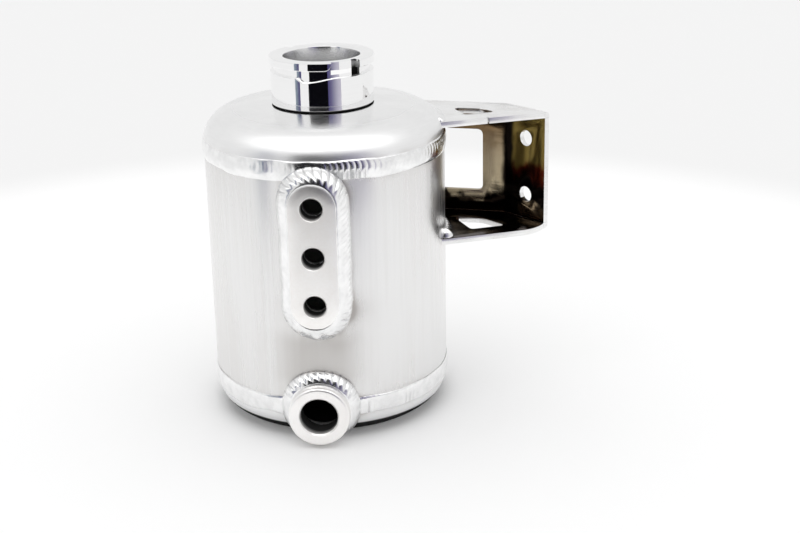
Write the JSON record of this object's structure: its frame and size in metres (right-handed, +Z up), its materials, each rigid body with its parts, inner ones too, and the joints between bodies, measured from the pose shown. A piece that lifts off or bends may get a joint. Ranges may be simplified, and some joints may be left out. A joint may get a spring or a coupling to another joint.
{
  "type": "hydraulic reservoir",
  "caption": "Upright welded aluminium fluid reservoir with a bayonet filler neck, a block of threaded side ports, a low threaded outlet and a folded side bracket.",
  "frame": {"origin": "centre of the flat base, on the tank axis", "axes": "+Z up along the tank axis towards the filler neck, -Y out of the threaded ports, +X the side with the bracket"},
  "size_m": [0.1838, 0.1391, 0.1909],
  "materials": {
    "tank_body": "brushed, lightly streaked round the welds",
    "spun_cap": "spun and lightly polished",
    "weld_bead": "rippled TIG weld, as laid",
    "polished_neck": "mirror polished",
    "machined_fitting": "bright turned and milled",
    "bracket_sheet": "sheet, polished inside",
    "inner_sheet": "plain mill finish",
    "inner_weld": "TIG weld, as laid"
  },
  "bodies": {
    "root": {"shell_tube": "tank_body", "top_end_cap": "spun_cap", "bottom_end_cap": "spun_cap", "top_girth_weld": "weld_bead", "bottom_girth_weld": "weld_bead", "filler_neck": "polished_neck", "neck_weld": "weld_bead", "port_block": "machined_fitting", "port_block_weld": "weld_bead", "outlet_bung": "machined_fitting", "outlet_bung_weld": "weld_bead", "bracket_web": "bracket_sheet", "bracket_top_plate": "bracket_sheet", "bracket_bottom_plate": "bracket_sheet", "bracket_top_seam_weld": "weld_bead", "bracket_bottom_seam_weld": "weld_bead", "bracket_top_tank_weld": "weld_bead", "bracket_bottom_tank_weld": "weld_bead", "bracket_rear_tank_weld": "weld_bead", "baffle_disc": "inner_sheet", "baffle_tabs": "inner_sheet", "return_deflector": "inner_sheet", "deflector_welds": "inner_weld"}
  },
  "joints": []
}
